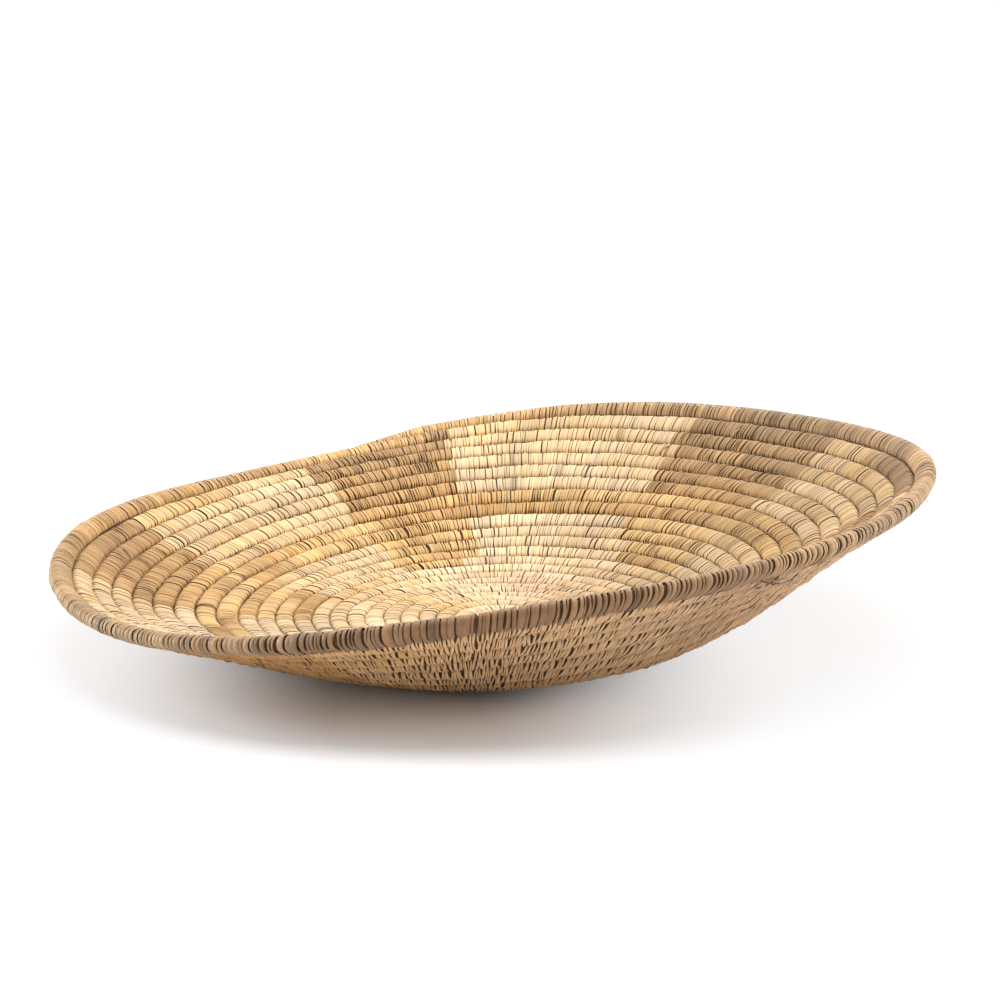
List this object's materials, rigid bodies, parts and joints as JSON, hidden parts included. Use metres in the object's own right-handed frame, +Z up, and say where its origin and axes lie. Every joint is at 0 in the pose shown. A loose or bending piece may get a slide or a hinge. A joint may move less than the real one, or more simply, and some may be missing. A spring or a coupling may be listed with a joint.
{
  "type": "coiled basket",
  "caption": "Wide shallow coiled basket in a gently warped bowl shape, a grass coil sewn with leaf strips in natural, tan and brown blocks under a brown rim.",
  "frame": {"origin": "on the ground under the middle of the basket's outline", "axes": "+Z up out of the bowl, +X to the right as pictured, +Y towards the back, where the coil ends"},
  "size_m": [0.4398, 0.4484, 0.0865],
  "materials": {
    "natural": "undyed leaf strips, matt",
    "tan": "tan dyed leaf strips, matt",
    "brown": "brown dyed leaf strips, matt",
    "rim_brown": "dark brown leaf strips, slight sheen",
    "grass": "dry grass stems, matt"
  },
  "bodies": {
    "root": {"foundation_coil": "grass", "start_knot": "natural", "centre_sewing": "natural", "ring_sewing": "tan", "rim_sewing": "rim_brown", "rim_end_sewing": "rim_brown", "inner_dyed_block_1": "tan", "wall_dyed_block_1": "brown", "inner_natural_block_1": "natural", "wall_natural_block_1": "natural", "inner_dyed_block_2": "tan", "wall_dyed_block_2": "brown", "inner_natural_block_2": "natural", "wall_natural_block_2": "natural", "inner_dyed_block_3": "tan", "wall_dyed_block_3": "brown", "inner_natural_block_3": "natural", "wall_natural_block_3": "natural", "inner_dyed_block_4": "tan", "wall_dyed_block_4": "brown", "inner_natural_block_4": "natural", "wall_natural_block_4": "natural", "inner_dyed_block_5": "tan", "wall_dyed_block_5": "brown", "inner_natural_block_5": "natural", "wall_natural_block_5": "natural", "inner_dyed_block_6": "tan", "wall_dyed_block_6": "brown", "inner_natural_block_6": "natural", "wall_natural_block_6": "natural"}
  },
  "joints": []
}
